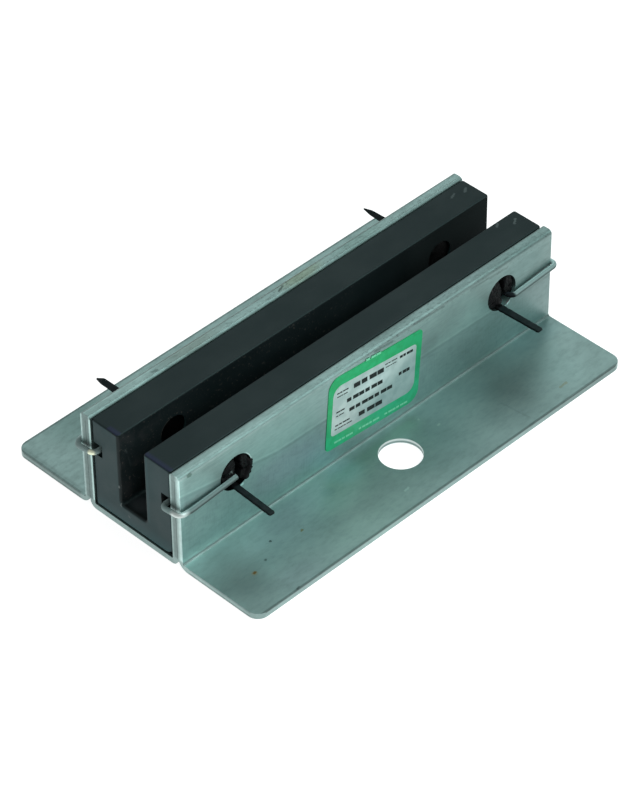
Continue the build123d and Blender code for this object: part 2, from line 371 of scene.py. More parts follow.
def painted_light_on_folds_and_hems(g, color, wall, streaks):
    """Painted shade in the folds at the walls' feet with a painted highlight beside them, and painted shade
    and highlights on the rounded hems on their tops.
    """
    # Painted shade in the fold
    fold_shade = g.both(
        g.ramp(g.reach, wall_out - 0.05, wall_out + 0.1),
        g.ramp(g.reach, wall_out + 1.1, wall_out + 0.8),
        g.ramp(g.z, flange_top + 0.02, flange_top + 0.1),
        g.ramp(g.z, flange_top + 0.7, flange_top + 0.25),
    )
    color = g.shade(color, g.both(fold_shade, g.ramp(streaks, 0.3, 0.6, 0.75, 1.0)), 0.42)
    # Painted highlight on the bulge above the fold, and painted shade a little higher up in front
    bulge_highlight = g.both(g.ramp(g.reach, wall_out - 0.1, wall_out), g.ramp(g.reach, wall_out + 0.7, wall_out + 0.5))
    color = g.shade(color, g.both(bulge_highlight, g.band(g.z, flange_top + 0.7, flange_top + 1.2, 0.3)), 1.15)
    in_front = g.both(wall, g.band(g.z, flange_top + 1.1, flange_top + 1.5, 0.4), g.ramp(g.x, -10, -40))
    color = g.shade(color, in_front, 0.95)
    # Painted shade on the hems' crests
    tipped = g.math("ADD", g.z, g.ramp(g.x, -15, 5, -0.6, 0.0))
    crest_shade = g.both(
        g.ramp(tipped, wall_top - 1.5, wall_top - 0.9),
        g.ramp(g.reach, wall_out - 1.0, wall_out - 0.6),
    )
    color = g.shade(color, crest_shade, 0.70)
    # Painted highlight on the near hem's ridge in front
    ridge_highlight = g.both(
        g.ramp(g.z, wall_top - 0.3, wall_top - 0.1),
        g.band(g.reach, wall_out - 1.2, wall_out - 0.9, 0.25),
        g.ramp(g.x, -15, -40),
    )
    color = g.shade(color, ridge_highlight, 1.28)
    # Painted shade at the far hem's inner edge, beside the liner
    far_inner_shade = g.both(
        g.ramp(g.y, -1, 1),
        g.ramp(g.z, wall_top - 1.0, wall_top - 0.7),
        g.ramp(g.reach, wall_in + 0.95, wall_in + 0.55),
    )
    return g.shade(color, far_inner_shade, 0.45)


def painted_light_on_wall_ends(g, color, wall):
    """The walls' sheared front ends, painted with highlights at the sheets' edges and shade between them,
    where depth is measured outwards from the liner; and a painted highlight on the walls beside their ends.
    """
    jitter = g.math("MULTIPLY_ADD", g.noise((1.2, 0.2, 1.2), detail=3), 0.5, -0.25)
    depth = g.math("ADD", g.math("SUBTRACT", g.reach, wall_in), jitter)
    end = g.ramp(g.x, front_x + 0.1, front_x + 0.02)
    tall = g.both(end, g.ramp(g.z, flange_top + 0.6, flange_top + 1.4))
    near_end = g.both(tall, g.ramp(g.y, 1, -1))
    # Painted highlights and shade across the near wall's end
    color = g.shade(color, g.both(near_end, g.band(depth, 0.15, 0.55, 0.2)), 1.15)
    color = g.shade(color, g.both(near_end, g.band(depth, 1.05, 1.85, 0.5)), 0.68)
    color = g.shade(color, g.both(near_end, g.ramp(depth, 2.25, 3.35)), 1.75)
    far_end = g.both(tall, g.ramp(g.y, -1, 1))
    # Painted highlights and shade across the far wall's end
    color = g.shade(color, g.both(far_end, g.band(depth, 0.15, 0.65, 0.2)), 1.75)
    color = g.tint(color, g.both(far_end, g.band(depth, 1.15, 2.95, 0.4)), (0.60, 0.61, 0.61))
    color = g.shade(color, g.both(far_end, g.ramp(depth, 3.25, 3.65)), 1.30)
    # Painted highlight on the wall just behind its front end
    beside_end_highlight = g.both(wall, g.ramp(g.x, front_x + 2.4, front_x + 0.6), g.ramp(g.z, 12, 18))
    return g.shade(color, beside_end_highlight, 1.25)


def painted_light_on_flange_edges(g, color):
    """The flanges' sheared sides and front ends, painted with bands of shade and highlight on their flat
    faces, of which the far end is painted the darker.
    """
    side = g.ramp(g.reach, side_y - 0.1, side_y - 0.02)
    # Painted shade along the top of the sides, a painted highlight below it, and painted shade towards the
    # rear
    color = g.shade(color, g.both(side, g.ramp(g.z, flange_top - 0.45, flange_top - 0.25)), 0.50)
    color = g.shade(color, g.both(side, g.ramp(g.z, flange_top - 0.4, flange_top - 0.7)), 1.10)
    color = g.shade(color, g.both(side, g.ramp(g.x, 15, 60)), 0.70)
    upper = g.ramp(g.z, flange_top - 0.1, flange_top - 0.01)
    # Painted shade on the flanges' top rim
    rim_shade = g.both(upper, g.ramp(g.reach, side_y - 0.7, side_y - 0.45))
    color = g.shade(color, rim_shade, 0.62)
    beyond_wall = g.ramp(g.reach, wall_out + 1.5, wall_out + 2.5)
    # Painted shade on the front ends, the far one the darker, with a painted highlight band across them
    end = g.both(
        g.ramp(g.x, front_x + 0.1, front_x + 0.02),
        g.ramp(g.z, flange_top + 0.1, flange_top),
        beyond_wall,
    )
    color = g.shade(color, g.both(end, g.ramp(g.y, -1, 1)), 0.62)
    color = g.shade(color, g.both(end, g.ramp(g.y, 1, -1)), 0.80)
    color = g.shade(color, g.both(end, g.band(g.z, 0.75, 1.15, 0.2)), 1.40)
    # Painted shade on the far flange's top brink near its front end
    brink_shade = g.both(upper, beyond_wall, g.ramp(g.y, -1, 1))
    color = g.shade(color, g.both(brink_shade, g.ramp(g.x, front_x + 2.0, front_x + 1.2)), 0.84)
    return g.shade(color, g.both(brink_shade, g.ramp(g.x, front_x + 0.7, front_x + 0.5)), 0.70)


def bolt_holes(g, color, grain):
    """The bolt holes' walls, with a painted highlight below, painted shade in a band above it and painted
    highlights in patches at their upper rims.
    """
    mirrored = g.vector("ABSOLUTE", g.mm)
    from_bolt = g.from_line(mirrored, (0.0, BOLT_Y, 0.0), (1.0, 1.0, 0.0))
    bore = g.ramp(from_bolt, BOLT_RADIUS + 0.08, BOLT_RADIUS + 0.03)
    # Painted highlight on the lower part of the bore, and painted shade in a band above it
    color = g.mix(g.both(bore, g.ramp(g.z, 0.45, 0.3)), color, (0.9, 0.93, 0.93))
    color = g.shade(color, g.both(bore, g.band(g.z, 0.5, 1.0, 0.1)), 0.66)
    # Painted highlights in patches at the upper rim
    highlight_patches = g.both(bore, g.ramp(g.z, 1.05, 1.25), g.ramp(grain, 0.3, 0.6, 0.7, 1.0))
    return g.mix(highlight_patches, color, (0.56, 0.62, 0.61))


def plug_holes(g, color, grain):
    """The near wall's plug holes: a painted highlight on part of the rim in front, and painted light on the
    wall of the rear one.
    """
    # Painted highlight on part of the front hole's rim
    highlight_patches = g.both(
        g.band(g.from_hole(-1), hole_radius - 0.15, hole_radius + 0.2, 0.15),
        g.ramp(g.y, near_y + 0.5, near_y + 0.3),
        g.ramp(g.x, -47.2, -45.9),
        g.ramp(g.z, 20.2, 21.2),
        g.ramp(grain, 0.35, 0.6, 0.5, 1.0),
    )
    color = g.mix(highlight_patches, color, (0.66, 0.78, 0.77))
    # Painted light on the lower part of the rear hole's bore
    bore_light = g.both(
        g.ramp(g.from_hole(1), hole_radius + 0.12, hole_radius + 0.06),
        g.ramp(g.y, 0.65 - wall_in, 0.15 - wall_in),
        g.ramp(g.y, near_y - 0.05, near_y + 0.05),
        g.ramp(g.z, 21, 19.5),
        g.ramp(g.x, 49, 50),
    )
    return g.mix(bore_light, color, (0.62, 0.96, 0.92))


def steel():
    """Galvanised sheet: cloudy, drawn along its length, with handling marks, and painted light and shade in
    patches, along its crease, at its folds and hems and as bright edges.
    """
    g = Graph("galvanised_steel")
    clouds = g.noise((22, 15, 15), detail=5, rough=0.6)
    grain = g.noise((2.6, 1.1, 1.1), detail=5, rough=0.65)
    streaks = g.noise((40, 0.35, 0.35), detail=3, rough=0.6)
    color = g.mix(g.ramp(clouds, 0.3, 0.7), (0.242, 0.335, 0.322), (0.296, 0.405, 0.390))
    color = g.tint(color, g.ramp(grain, 0.4, 0.75, 0.0, 0.6), (0.86, 0.87, 0.87))
    # Mottling and painted light and shade, patch by patch
    for center, extent, factors in SHEET_MOTTLE_AND_PAINTED_LIGHT:
        color = g.tint(color, g.patch(center, extent), factors)
    # the walls' outer faces
    wall = g.both(
        g.ramp(g.z, 3, 4),
        g.ramp(g.reach, wall_out - 0.3, wall_out - 0.15),
        g.ramp(g.reach, wall_out + 0.7, wall_out + 0.3),
    )
    color = wall_faces(g, color, wall, streaks)
    color = painted_light_on_folds_and_hems(g, color, wall, streaks)
    color = painted_light_on_wall_ends(g, color, wall)
    color = painted_light_on_flange_edges(g, color)
    color = bolt_holes(g, color, grain)
    color = plug_holes(g, color, grain)
    for start, stop, width, factors in SHEET_MARKS:
        color = g.tint(color, g.stroke(start, stop, width, MARK_SOFT), factors)
    color = g.tint(color, g.patch(RUST_START, (1.3, 1.1, 1.0), 0.3), (1.15, 0.9, 0.7))
    g.set("Base Color", color)
    g.set("Metallic", 1.0)
    bent = g.both(
        g.ramp(g.z, wall_top - 1.1, wall_top - 0.8),
        g.ramp(g.reach, wall_out - 1.3, wall_out - 1.0),
    )
    g.set("Roughness", g.math("MULTIPLY_ADD", bent, 0.07, g.ramp(grain, 0.3, 0.8, 0.42, 0.52)))
    g.bump(g.math("MULTIPLY_ADD", streaks, 0.6, grain), 0.01)
    return g.material


# Light scuffs on the liner: start, end, width and strength
LINER_SCUFFS = (
    ((-67.1, SLOT_HALF, 25.3), (-66.6, SLOT_HALF, 24.0), 0.2, 0.2),
    ((-66.2, SLOT_HALF, 22.0), (-65.4, SLOT_HALF, 19.0), 0.2, 0.12),
    ((61.0, -6.4, liner_top), (62.0, -5.4, liner_top), 0.4, 0.5),
    ((65.4, -8.8, liner_top), (67.0, -7.6, liner_top), 0.4, 0.5),
    ((61.6, 11.2, liner_top), (63.2, 11.8, liner_top), 0.4, 0.45),
    ((66.0, 10.4, liner_top), (67.4, 11.4, liner_top), 0.4, 0.45),
    ((liner_x, 5.2, 13.7), (liner_x, 5.2, 13.5), 0.25, 1.0),
    ((liner_x, 4.8, 7.7), (liner_x, 4.8, 7.2), 0.25, 1.0),
    ((liner_x, 1.9, 5.3), (liner_x, 1.7, 5.2), 0.25, 0.8),
)
SCUFF_SOFT = 0.3


def painted_light_on_liner_front(g, color, clouds):
    """The liner's front, painted paler as if lit from the front and lighter low down, with painted shade on
    its rounded edge at the far leg's side of the slot and a painted highlight on the near leg's one.
    """
    front = g.ramp(g.facing_x, -0.8, -0.98)
    # Painted light on the front faces, stronger low down and in one patch
    color = g.mix(g.both(front, g.ramp(clouds, 0.2, 0.8, 0.75, 1.0)), color, (0.0130, 0.0372, 0.0402))
    color = g.shade(color, g.both(front, g.ramp(g.z, 7.0, 3.5)), 1.45)
    color = g.tint(color, g.both(front, g.ramp(g.z, 4.5, 2)), (1.2, 1.3, 1.28))
    color = g.tint(color, g.both(front, g.patch((liner_x, -9, 25), (3, 6, 8))), (1.12, 1.14, 1.16))
    above_floor = g.ramp(g.z, SLOT_FLOOR + 0.4, SLOT_FLOOR + 1.4)
    # Painted shade on the far leg's rounded edge at the slot
    mouth_shade = g.both(
        above_floor,
        g.ramp(g.facing_x, -0.998, -0.96),
        g.ramp(g.x, liner_x + 1.1, liner_x + 0.6),
        g.ramp(g.y, 0, 1),
        g.ramp(g.y, 7, 6.5),
    )
    color = g.tint(color, mouth_shade, (0.35, 0.33, 0.33))
    # Painted highlight on the near leg's rounded edge at the slot
    return g.shade(color, g.both(front, above_floor, g.band(g.y, -6.2, -5.6, 0.2)), 1.35)


def slot_face(g, color, grain):
    """The far leg's face in the slot: with painted light in patches near the front, dust, and a painted
    highlight on an arc at its bore.
    """
    slot = g.both(
        g.ramp(g.facing_y, -0.8, -0.95),
        g.ramp(g.y, 8, 6),
        g.ramp(g.z, SLOT_FLOOR, SLOT_FLOOR + 0.4),
    )
    color = g.tint(color, slot, (1.25, 0.96, 0.98))
    # Painted light in patches near the front, where light reaches into the slot
    front_light_patches = g.both(slot, g.ramp(g.x, -40, -60), g.ramp(g.noise((4, 4, 5), detail=4), 0.48, 0.66))
    color = g.mix(front_light_patches, color, (0.017, 0.019, 0.020))
    dust = g.both(slot, g.ramp(g.x, 25, 5), g.ramp(g.noise((0.7, 0.7, 0.7), detail=2), 0.64, 0.70))
    color = g.mix(dust, color, (0.060, 0.055, 0.050))
    # Painted highlight on an arc at the bore's upper front rim
    ring = g.both(slot, g.band(g.from_hole(-1), BODY_RADIUS + 0.2, BODY_RADIUS + 0.35, 0.12))
    upper_front = g.both(g.ramp(g.x, -49.5, -51.5), g.ramp(g.z, 21, 22.5))
    return g.mix(g.both(ring, upper_front, g.ramp(grain, 0.35, 0.6)), color, (0.055, 0.05, 0.045))


def leg_tops(g, color):
    """The legs' tops, darker towards the rear and bluish at their front edges."""
    tops = g.ramp(g.z, liner_top - 0.2, liner_top - 0.05)
    color = g.tint(color, g.both(tops, g.ramp(g.x, 10, 50)), (0.80, 0.88, 0.88))
    far_edge = g.both(tops, g.ramp(g.x, liner_x + 2.1, liner_x + 1.1), g.band(g.y, 4.4, 8.6, 0.8))
    near_edge = g.both(tops, g.ramp(g.x, liner_x + 2.1, liner_x + 0.9), g.band(g.y, -14.2, -4.4, 0.8))
    return g.mix(g.math("ADD", far_edge, near_edge, clamp=True), color, (0.010, 0.013, 0.036))


def slot_floor(g, color):
    """The slot's floor, with painted shade on its front edge and painted light on a place behind it."""
    level = g.both(g.ramp(g.z, SLOT_FLOOR + 0.3, SLOT_FLOOR + 0.05), g.ramp(g.facing_z, 0.8, 0.95))
    floor = g.both(level, g.ramp(g.reach, 6, 5))
    # Painted shade on the floor's front edge
    color = g.shade(color, g.both(floor, g.ramp(g.x, liner_x + 1.7, liner_x + 0.9)), 0.3)
    # Painted light on the floor behind the edge
    floor_light = g.both(floor, g.patch((-65.8, 1.0, SLOT_FLOOR), (3.6, 4.4, 1.0)))
    return g.mix(floor_light, color, (0.03, 0.036, 0.04))


def polyurethane():
    """Black moulded plastic, a little chalky, with light scuffs, a front painted paler as if lit, painted
    shade deep in the slot and painted light at the front foot.
    """
    g = Graph("black_liner")
    clouds = g.noise((14, 9, 9), detail=4)
    grain = g.noise((0.8, 0.8, 0.8), detail=4)
    color = g.mix(clouds, (0.0036, 0.0088, 0.0094), (0.0070, 0.0138, 0.0150))
    color = painted_light_on_liner_front(g, color, clouds)
    color = slot_face(g, color, grain)
    # Painted shade on the faces towards the slot at the rear, which are also made rougher
    unlit = g.both(g.ramp(g.x, 20, 50), g.ramp(g.facing_y, -0.8, -0.95))
    color = g.tint(color, unlit, (0.1, 0.15, 0.15))
    color = leg_tops(g, color)
    color = slot_floor(g, color)
    for start, stop, width, strength in LINER_SCUFFS:
        scuff = g.math("MULTIPLY", g.stroke(start, stop, width, SCUFF_SOFT), strength)
        color = g.mix(scuff, color, (0.10, 0.12, 0.12))
    # Painted light at the front foot, in place of the shade of the crevice there
    foot_light = g.both(g.ramp(g.x, liner_x + 0.7, liner_x + 0.3), g.ramp(g.z, flange_top + 0.4, flange_top + 0.1))
    color = g.mix(foot_light, color, (0.050, 0.085, 0.085))
    g.set("Base Color", color)
    g.set("Roughness", g.math("MAXIMUM", g.ramp(clouds, 0.3, 0.7, 0.5, 0.62), unlit))
    g.set("Specular IOR Level", 0.32)
    g.set("Specular Tint", (0.78, 1.0, 1.0, 1.0))
    g.bump(grain, 0.01)
    return g.material


def spring_wire():
    """Drawn wire, dull along its runs, with painted highlights where it is bent round the front ends and
    painted shade on its undersides near the front and on its tip inside the rear hole.
    """
    g = Graph("spring_wire")
    grain = g.noise((2.5, 0.4, 0.4), detail=4)
    color = g.mix(grain, (0.205, 0.285, 0.28), (0.275, 0.37, 0.36))
    behind_front = g.ramp(g.x, front_x - 0.4, front_x + 0.8)
    # Painted light on the wire's sides near the front end
    color = g.shade(color, g.both(behind_front, g.ramp(g.facing_y, -0.25, 0.1)), 1.8)
    front_run = g.both(g.ramp(g.x, front_x + 0.8, front_x + 2.3), g.ramp(g.x, -40, -42))
    color = g.shade(color, front_run, 0.80)
    # Painted shade on the wire's underside near the front
    color = g.shade(color, g.both(behind_front, g.ramp(g.facing_z, 0.75, 0.15)), 0.38)
    # Painted highlights on the bends round the front ends
    near_bend_highlight = g.both(g.ramp(g.x, front_x + 2.3, front_x - 0.2), g.ramp(g.y, -16.0, -17.6))
    color = g.mix(near_bend_highlight, color, (0.64, 0.71, 0.69))
    far_bend_highlight = g.both(
        g.ramp(g.x, front_x - 0.6, front_x - 1.4),
        g.ramp(g.y, 9.5, 10),
        g.ramp(g.y, 14.6, 13.8),
    )
    color = g.mix(far_bend_highlight, color, (0.90, 0.95, 0.74))
    # Painted shade on the wire's tip inside the rear plug hole
    rear_tip_shade = g.both(g.ramp(g.x, 40, 41), g.ramp(g.x, 54.7, 53.9), g.ramp(g.y, -10, -12))
    color = g.tint(color, rear_tip_shade, (0.04, 0.04, 0.05))
    g.set("Base Color", color)
    bends = g.math("MAXIMUM", near_bend_highlight, far_bend_highlight)
    g.set("Metallic", g.math("MAXIMUM", bends, 0.2))
    dull = g.math("MULTIPLY_ADD", bends, -0.22, 0.22)
    g.set("Roughness", g.math("ADD", dull, g.ramp(grain, 0.3, 0.7, 0.48, 0.58)))
    g.set("Specular IOR Level", 0.15)
    g.bump(grain, 0.02)
    return g.material


def rubber():
    """Black rubber with a rough, torn skin, a little greener on the pull strips, with painted shade in the
    slot and on the strips' sides and a painted glint on the front plug.
    """
    g = Graph("black_rubber")
    grain = g.noise((0.7, 0.7, 0.7), detail=5, rough=0.65)
    lumps = g.noise((1.8, 1.8, 1.8), detail=3)
    color = g.mix(g.ramp(grain, 0.35, 0.7), (0.0012, 0.0014, 0.0017), (0.0060, 0.0056, 0.0066))
    color = g.mix(g.ramp(lumps, 0.52, 0.7), color, (0.0012, 0.0026, 0.0025))
    # Painted shade on the rubber in the slot
    color = g.shade(color, g.ramp(g.reach, 8, 6), 0.1)
    strip = g.mix(g.ramp(lumps, 0.35, 0.7), (0.0070, 0.0150, 0.0155), (0.0150, 0.0205, 0.0225))
    # Painted shade on the strips' sides and undersides
    strip = g.tint(strip, g.ramp(g.facing_z, 0.85, 0.5), (0.35, 0.45, 0.45))
    color = g.mix(g.ramp(g.reach, wall_out + 0.1, wall_out + 0.9), color, strip)
    # Painted glint on the front plug's face
    glint = g.stroke((-51.2, -17.6, 21.0), (-50.9, -17.6, 21.1), 0.5, 0.3)
    color = g.mix(glint, color, (0.16, 0.20, 0.19))
    g.set("Base Color", color)
    g.set("Roughness", g.ramp(grain, 0.3, 0.7, 0.42, 0.6))
    g.set("Specular IOR Level", 0.12)
    g.bump(grain, 0.08)
    return g.material


def label_green():
    """Printed green film, a little bluer towards its foot and uneven at its sides."""
    g = Graph("label_green")
    grain = g.noise((2.0, 2.0, 2.0), detail=4)
    color = g.mix(g.ramp(grain, 0.35, 0.65), (0.005, 0.345, 0.110), (0.010, 0.40, 0.145))
    color = g.tint(color, g.ramp(g.z, 22, 8), (1.5, 0.96, 1.25))
    color = g.tint(color, g.both(g.ramp(g.x, 2, 14), g.ramp(g.z, 10, 16)), (0.2, 0.87, 0.86))
    color = g.tint(color, g.both(g.ramp(g.x, 0, -12), g.ramp(g.z, 15, 9)), (0.6, 1.09, 0.98))
    color = g.tint(color, g.patch((18.0, label_y, 17.0), (5, 2, 8)), (0.9, 0.84, 0.92))
    g.set("Base Color", color)
    g.set("Roughness", 0.38)
    g.set("Specular IOR Level", 0.3)
    g.bump(grain, 0.01)
    return g.material


def label_silver():
    """Silvery film, with a painted sheen: darker to the right and towards its foot, and lighter in its
    middle.
    """
    g = Graph("label_silver")
    grain = g.noise((3.0, 3.0, 3.0), detail=4)
    color = g.mix(g.ramp(grain, 0.35, 0.65), (0.40, 0.50, 0.485), (0.51, 0.61, 0.59))
    # Painted sheen: darker to the right and towards the foot, lighter in the middle
    sheen_slope = g.math("MULTIPLY_ADD", g.x, 0.033, g.math("MULTIPLY_ADD", g.z, -0.083, 1.96))
    color = g.tint(color, g.ramp(sheen_slope, 0.30, 1.05), (0.60, 0.68, 0.69))
    color = g.tint(color, g.patch((0, label_y, 20.5), (9, 2, 4.5)), (1.16, 1.14, 1.16))
    g.set("Base Color", color)
    g.set("Metallic", 0.25)
    g.set("Roughness", 0.36)
    g.bump(grain, 0.01)
    return g.material


def label_pale():
    """Pale green print."""
    g = Graph("label_pale")
    grain = g.noise((0.6, 0.6, 0.6), detail=3)
    g.set("Base Color", g.mix(grain, (0.10, 0.52, 0.27), (0.20, 0.62, 0.40)))
    g.set("Roughness", 0.4)
    return g.material


def label_ink():
    """Dark print."""
    g = Graph("label_ink")
    grain = g.noise((0.6, 0.6, 0.6), detail=3)
    g.set("Base Color", g.mix(grain, (0.002, 0.004, 0.004), (0.010, 0.014, 0.014)))
    g.set("Roughness", 0.5)
    g.set("Specular IOR Level", 0.2)
    return g.material


def floor_white():
    """Plain pale floor, lit from within so that it stays as white as a studio sweep."""
    g = Graph("floor_white")
    g.set("Base Color", g.mix(g.noise((400, 400, 400), detail=1), (0.40, 0.40, 0.40), (0.42, 0.42, 0.42)))
    g.set("Roughness", 0.9)
    g.set("Specular IOR Level", 0.0)
    g.set("Emission Color", (1.0, 1.0, 1.0, 1.0))
    g.set("Emission Strength", 0.88)
    return g.material


def new_piece(name, mesh, material):
    """A visual piece that rides on the root body."""
    piece = bpy.data.objects.new(name, mesh)
    scene.collection.objects.link(piece)
    mesh.materials.append(material)
    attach(piece, "root")
    return piece


def skin(work, rings):
    """Faces between each closed row of vertices and the next."""
    for first, second in zip(rings, rings[1:]):
        for i in range(len(first)):
            j = (i + 1) % len(first)
            work.faces.new((first[i], first[j], second[j], second[i]))


def finished(work, name):
    """The mesh of a finished bmesh, which is freed."""
    mesh = bpy.data.meshes.new(name)
    work.to_mesh(mesh)
    work.free()
    return mesh


def smooth(start, stop, value):
    """Rises smoothly from nothing to one as value goes from start to stop."""
    part = min(1.0, max(0.0, (value - start) / (stop - start)))
    return part * part * (3.0 - 2.0 * part)


# The two near plugs, whose faces are torn round their slits. Each pad is a raised piece of rubber: its
# place beside the hole's center, its reach and how far it stands over the slit's floor, in mm. Each pit
# is a hollow: its place, reach and depth. Each lip overlaps the hole's rim: its middle and reach in
# degrees, and its width in mm.
FRONT_HEAD = {
    "end": -1,
    "face_y": -17.3,
    "pads": (
        (-2.0, 0.8, 3.15, 4.7, 2.2),
        (-1.3, -4.3, 1.7, 1.1, 2.1),
        (4.0, 1.9, 2.0, 3.4, 3.0),
        (3.7, -3.2, 2.0, 1.9, 2.8),
        (-1.0, -0.5, 0.55, 0.5, 2.9),
        (0.6, -3.6, 1.5, 1.3, 1.5),
    ),
    "pits": ((-3.4, -0.6, 0.5, 0.6), (3.2, 0.5, 0.5, 0.35), (4.6, 2.6, 0.5, 0.5)),
    "lips": ((2.0, 16.0, 0.75), (-24.0, 14.0, 0.8), (-46.0, 12.0, 0.7)),
}
REAR_HEAD = {
    "end": 1,
    "face_y": -17.8,
    "pads": (
        (-2.2, -0.2, 3.05, 5.0, 2.2),
        (3.2, 1.2, 1.75, 3.6, 2.3),
        (-0.6, -3.4, 1.6, 1.8, 2.4),
        (4.2, -1.0, 1.1, 2.2, 2.0),
    ),
    "pits": ((3.6, 0.4, 0.75, 1.1), (3.25, -2.7, 1.0, 2.0), (-3.0, -2.6, 0.7, 0.8)),
    "lips": (),
}
SLIT_DEPTH = 2.0
LIP_Y = near_y - 0.35
LIP_BACK_Y = near_y - 0.05
HEAD_SEGMENTS = 128
FACE_RINGS = 46
BODY_CHAMFER = 0.3

# Their pull strips: the turn about the strip's length, how far it stands out of the wall and droops,
# its width at the root and the tip, and how far its root lies to the side
FRONT_STRIP = {
    "end": -1,
    "turn": math.radians(7),
    "length": 13.8,
    "droop": 0.8,
    "root_width": 1.9,
    "tip_width": 1.9,
    "root_shift": 0.2,
}
REAR_STRIP = {
    "end": 1,
    "turn": 0.0,
    "length": 14.3,
    "droop": 0.4,
    "root_width": 2.2,
    "tip_width": 1.9,
    "root_shift": -0.9,
}
STRIP_ROOT_Y = -15.4
STRIP_INSET = 0.7
STRIP_HALF_THICK = 0.35
STRIP_RUNS = 40

# The section of a strip, in half widths and half thicknesses: where the arcs of its corners are
# centered, their radii, the angles of their points, and the size that its width is divided by
CORNER_PLACE = (0.78, 0.62)
CORNER_RADII = (0.3, 0.5)
CORNER_BENDS = tuple(math.radians(angle) for angle in (-36, -12, 12, 36))
SECTION_WIDTH = 1.05


def torn_height(u, w, pads, pits):
    """How far the face stands over the slit's floor, at u and w mm from the hole's center."""
    height = 0.0
    for pad_u, pad_w, reach_u, reach_w, top in pads:
        reach = math.hypot((u - pad_u) / reach_u, (w - pad_w) / reach_w)
        reach += 0.14 * noise.noise(Vector((u * 1.5, w * 1.5, pad_u * 3.0)))
        crown = top - 0.35 * reach * reach
        height = max(height, crown * smooth(1.06, 0.88, reach))
    rough = 0.22 * noise.noise(Vector((u * 1.6, w * 1.6, 7.0)))
    rough += 0.12 * noise.noise(Vector((u * 4.0, w * 4.0, 3.0)))
    height += rough * min(1.0, height)
    for pit_u, pit_w, reach, depth in pits:
        height -= depth * smooth(1.0, 0.5, math.hypot(u - pit_u, w - pit_w) / reach)
    return max(0.0, height)


def lip_size(angle, lips):
    """How far ragged rubber overlaps the hole's rim at an angle from its center, in mm."""
    size = 0.0
    for middle, reach, most in lips:
        away = abs((math.degrees(angle) - middle + 180.0) % 360.0 - 180.0)
        size = max(size, most * smooth(1.0, 0.6, away / reach))
    ragged = 0.62 + 0.75 * noise.noise(Vector((math.cos(angle) * 9.0, math.sin(angle) * 9.0, 2.0)))
    return size * min(1.0, max(0.0, ragged))


def torn_head(work, end, face_y, pads, pits, lips):
    """A plug's head, whose face is torn round its slit, and its body in the liner."""
    center = Vector((end * hole_x, 0.0, hole_z))
    floor_y = face_y + SLIT_DEPTH
    rings = []

    def ring(radius, depth=None, lift=0.0, lip_y=LIP_Y):
        """One closed row of vertices at a depth, or on the torn face where there is none."""
        row = []
        for i in range(HEAD_SEGMENTS):
            angle = 2 * math.pi * i / HEAD_SEGMENTS
            u, w = radius * math.cos(angle), radius * math.sin(angle)
            y = depth if depth is not None else floor_y - torn_height(u, w, pads, pits)
            lip = lift * lip_size(angle, lips)
            y += (lip_y - y) * min(1.0, lip * 6.0)
            spread = 1.0 + lip / head_radius
            row.append(work.verts.new((center + Vector((u * spread, y, w * spread))) * MM))
        rings.append(row)

    for step in range(1, FACE_RINGS + 1):
        part = step / FACE_RINGS
        ring(head_radius * part, lift=smooth(0.82, 1.0, part))
    if lips:
        ring(head_radius, lift=1.0, lip_y=LIP_BACK_Y)
        ring(head_radius, LIP_BACK_Y)
    ring(head_radius, -wall_in)
    ring(BODY_RADIUS, -wall_in)
    ring(BODY_RADIUS, body_back_y + BODY_CHAMFER)
    ring(BODY_RADIUS - BODY_CHAMFER, body_back_y)
    ring(BODY_RADIUS / 2, body_back_y)
    skin(work, rings)
    middle_y = floor_y - torn_height(0, 0, pads, pits)
    for row, y in ((rings[0], middle_y), (rings[-1], body_back_y)):
        tip = work.verts.new((center + Vector((0.0, y, 0.0))) * MM)
        for i in range(HEAD_SEGMENTS):
            work.faces.new((row[i], row[(i + 1) % HEAD_SEGMENTS], tip))


def strip_section():
    """The soft-edged section of a pull strip, in half widths and half thicknesses."""
    section = []
    for side_u, side_w in ((1, 1), (-1, 1), (-1, -1), (1, -1)):
        for bend in CORNER_BENDS:
            angle = math.atan2(side_w, side_u) + bend
            u = side_u * CORNER_PLACE[0] + CORNER_RADII[0] * math.cos(angle)
            w = side_w * CORNER_PLACE[1] + CORNER_RADII[1] * math.sin(angle)
            section.append((u / SECTION_WIDTH, w))
    return section


def pull_strip(work, end, turn, length, droop, root_width, tip_width, root_shift):
    """A soft-edged band out of a near plug, which droops and changes its width towards its tip."""
    center = Vector((end * hole_x, 0.0, hole_z))
    across = Vector((math.cos(turn), 0.0, -math.sin(turn)))
    upward = Vector((math.sin(turn), 0.0, math.cos(turn)))
    lowered = head_radius - STRIP_INSET
    start = center - upward * lowered + across * root_shift + Vector((0.0, STRIP_ROOT_Y, 0.0))
    stop = center - upward * (lowered + droop) + Vector((0.0, near_y - length, 0.0))
    section = strip_section()
    hoops = []
    for step in range(STRIP_RUNS + 1):
        part = step / STRIP_RUNS
        spot = start.lerp(stop, part)
        half = (root_width + (tip_width - root_width) * part) / 2
        half *= 1.0 + 0.10 * noise.noise(Vector((step * 0.45, end * 5.0, 1.0)))
        thick = STRIP_HALF_THICK * (1.0 + 0.12 * noise.noise(Vector((step * 0.5, end * 5.0, 9.0))))
        close = smooth(1.0, 0.985, part) * 0.18 + 0.82
        hoops.append([
            work.verts.new((spot + across * (u * half * close) + upward * (w * thick * close)) * MM)
            for u, w in section
        ])
    skin(work, hoops)
    work.faces.new(hoops[0][::-1])
    work.faces.new(hoops[-1])


def torn_plug(name, head, strip):
    """A near plug with its torn head and its pull strip."""
    work = bmesh.new()
    torn_head(work, **head)
    pull_strip(work, **strip)
    bmesh.ops.recalc_face_normals(work, faces=work.faces)
    for face in work.faces:
        face.smooth = True
    return finished(work, name)


